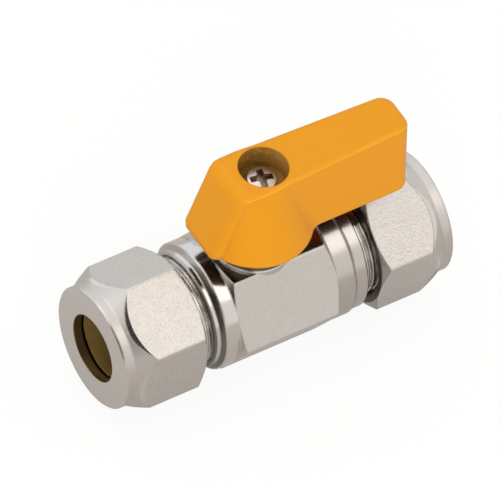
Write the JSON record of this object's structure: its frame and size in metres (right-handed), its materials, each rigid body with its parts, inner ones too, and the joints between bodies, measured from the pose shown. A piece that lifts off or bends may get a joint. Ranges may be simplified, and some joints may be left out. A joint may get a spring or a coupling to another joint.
{
  "type": "mini ball valve",
  "caption": "Straight quarter-turn mini ball valve in plated brass, with a hexagon body, a compression nut at each end and a painted lever handle on top.",
  "frame": {"origin": "on the pipe axis, half way along the wall of the inlet's tube socket", "axes": "+X along the pipe from the inlet to the outlet, +Z along the stem towards the lever"},
  "size_m": [0.0548, 0.022, 0.037],
  "materials": {
    "plated_brass": "bright nickel or chrome plate, satin on the nut and body flats",
    "bare_brass": "plain turned brass",
    "lever_paint": "smooth semi-gloss orange-yellow coating",
    "zinc_plated_steel": "zinc-plated screw",
    "white_ptfe": "plain",
    "black_rubber": "plain"
  },
  "bodies": {
    "valve": {"valve_body": "plated_brass", "body_insert": "plated_brass", "insert_seal": "white_ptfe", "seat_inlet": "white_ptfe", "seat_outlet": "white_ptfe", "thrust_washer": "white_ptfe"},
    "lever": {"handle": "lever_paint", "handle_screw": "zinc_plated_steel", "stem": "bare_brass", "stem_o_ring_lower": "black_rubber", "stem_o_ring_upper": "black_rubber", "ball": "plated_brass"},
    "inlet_olive": {"inlet_olive": "bare_brass"},
    "inlet_nut": {"inlet_nut": "plated_brass"},
    "outlet_olive": {"outlet_olive": "bare_brass"},
    "outlet_nut": {"outlet_nut": "plated_brass"}
  },
  "joints": [
    {"name": "lever_turn", "type": "hinge", "parent": "valve", "child": "lever", "pos_m": [0.015, 0, 0], "axis": [0, 0, -1], "range_deg": [0, 90]},
    {"name": "inlet_nut_turn", "type": "hinge", "parent": "inlet_olive", "child": "inlet_nut", "pos_m": [0, 0, 0], "axis": [-1, 0, 0], "range_deg": [0, 1800]},
    {"name": "inlet_olive_slide", "type": "slide", "parent": "valve", "child": "inlet_olive", "axis": [-1, 0, 0], "range_m": [0, 0.005]},
    {"name": "outlet_nut_turn", "type": "hinge", "parent": "outlet_olive", "child": "outlet_nut", "pos_m": [0, 0, 0], "axis": [1, 0, 0], "range_deg": [0, 1800]},
    {"name": "outlet_olive_slide", "type": "slide", "parent": "valve", "child": "outlet_olive", "axis": [1, 0, 0], "range_m": [0, 0.005]}
  ],
  "couplings": [
    {"joint": "inlet_nut_turn", "follows": "inlet_olive_slide", "rad_per_m": 6283.2},
    {"joint": "outlet_nut_turn", "follows": "outlet_olive_slide", "rad_per_m": 6283.2}
  ]
}
